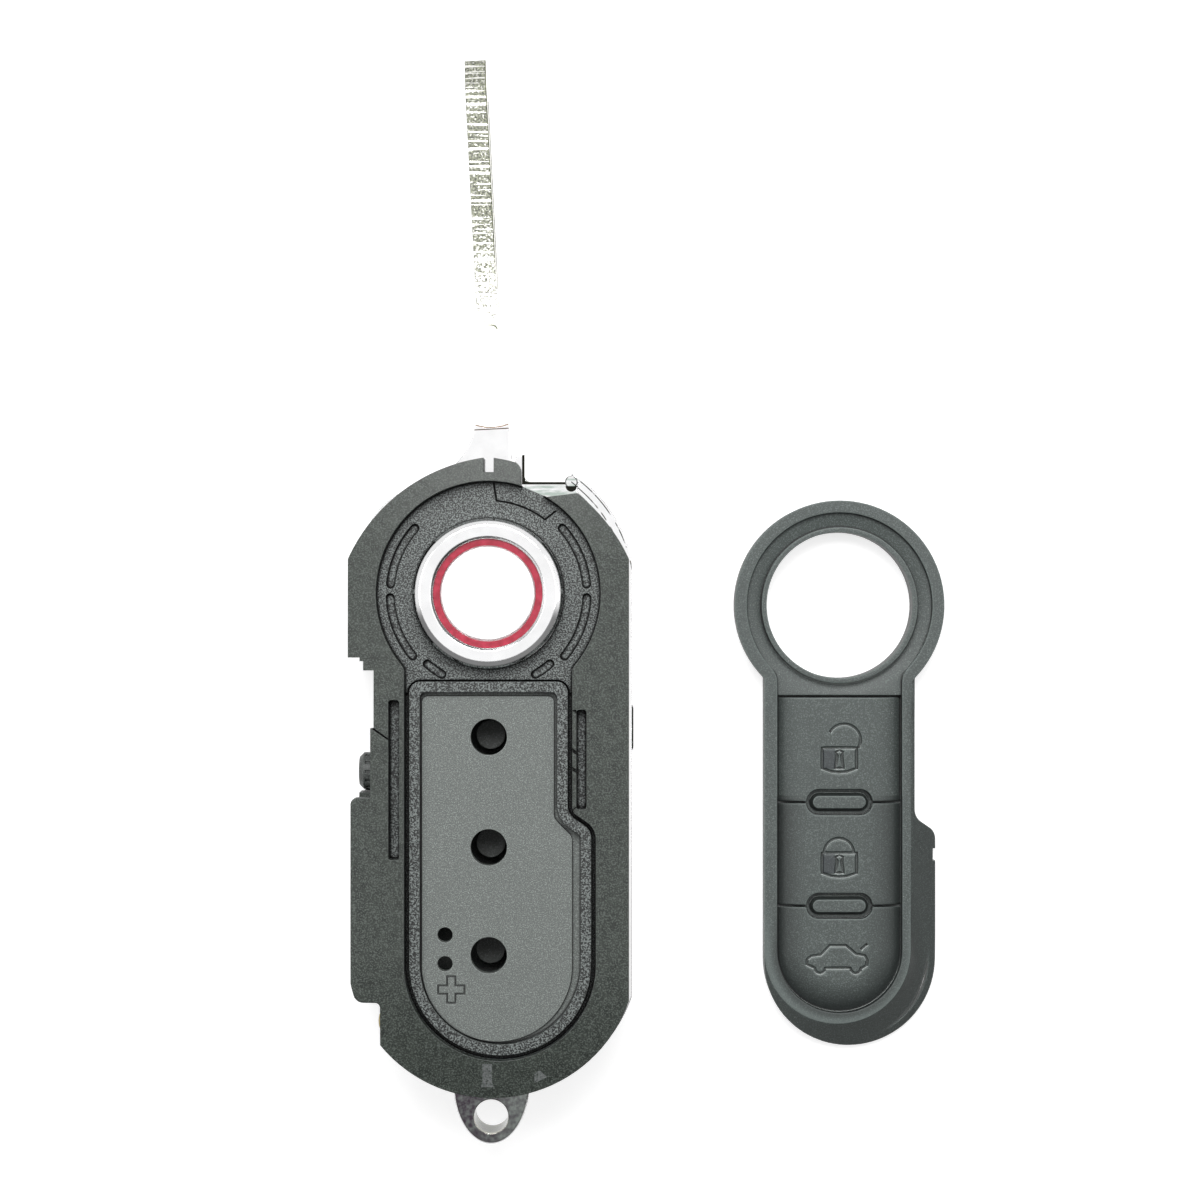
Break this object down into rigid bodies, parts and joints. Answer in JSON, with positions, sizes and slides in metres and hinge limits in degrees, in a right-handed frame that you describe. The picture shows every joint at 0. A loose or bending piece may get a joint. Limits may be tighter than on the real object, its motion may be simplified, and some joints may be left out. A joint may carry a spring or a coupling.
{
  "type": "key fob shell",
  "caption": "Empty flip key fob shell with its blade swung open, a round release button in the head, and its rubber keypad lying beside it.",
  "frame": {"origin": "on the back face, under the axis of the round release button", "axes": "+X to the right and +Y towards the open blade as the fob is seen from the front, +Z out of the front"},
  "size_m": [0.0666, 0.1202, 0.0182],
  "materials": {
    "black_plastic": "fine matt moulded",
    "black_textured": "spark-eroded texture",
    "grey_plastic": "fine spark-eroded texture",
    "chrome_plate": "polished",
    "blade_steel": "milled and plated",
    "spring_steel": "drawn wire",
    "red_enamel": "gloss enamel",
    "satin_silver": "bright satin",
    "rubber": "matt moulded",
    "leaf_brass": "thin leaf"
  },
  "bodies": {
    "case": {"front_cover": "black_plastic", "back_cover": "black_plastic", "carrier_frame": "chrome_plate", "switch_plate": "grey_plastic", "board_tray": "black_textured", "rubber_keypad": "rubber", "flip_spring": "spring_steel", "pivot_clip": "spring_steel", "release_spring": "spring_steel", "tip_spring": "leaf_brass", "case_screws": "spring_steel"},
    "flip_key": {"blade_holder": "chrome_plate", "key_blade": "blade_steel", "blade_pin": "spring_steel"},
    "button": {"release_button": "chrome_plate", "badge_ring": "red_enamel", "badge_disc": "satin_silver", "lock_plunger": "black_textured"},
    "tray": {"battery_tray": "black_plastic"},
    "lock": {"battery_lock": "black_textured", "lock_clip": "spring_steel"}
  },
  "joints": [
    {"name": "blade_flip", "type": "hinge", "parent": "case", "child": "flip_key", "pos_m": [-0.0063, 0.0041, 0.01], "axis": [0, 0, 1], "range_deg": [0, 177], "stiffness_Nm_per_rad": 0.01, "springref_deg": -85.94},
    {"name": "release_press", "type": "slide", "parent": "case", "child": "button", "axis": [0, 0, -1], "range_m": [0, 0.0013], "stiffness_N_per_m": 1500, "springref_m": -0.001, "deforming": ["release_spring"]},
    {"name": "tray_slide", "type": "slide", "parent": "case", "child": "tray", "axis": [-1, 0, 0], "range_m": [0, 0.022]},
    {"name": "lock_turn", "type": "hinge", "parent": "case", "child": "lock", "pos_m": [-0.014, -0.0201, 0.0031], "axis": [-1, 0, 0], "range_deg": [0, 90]}
  ]
}
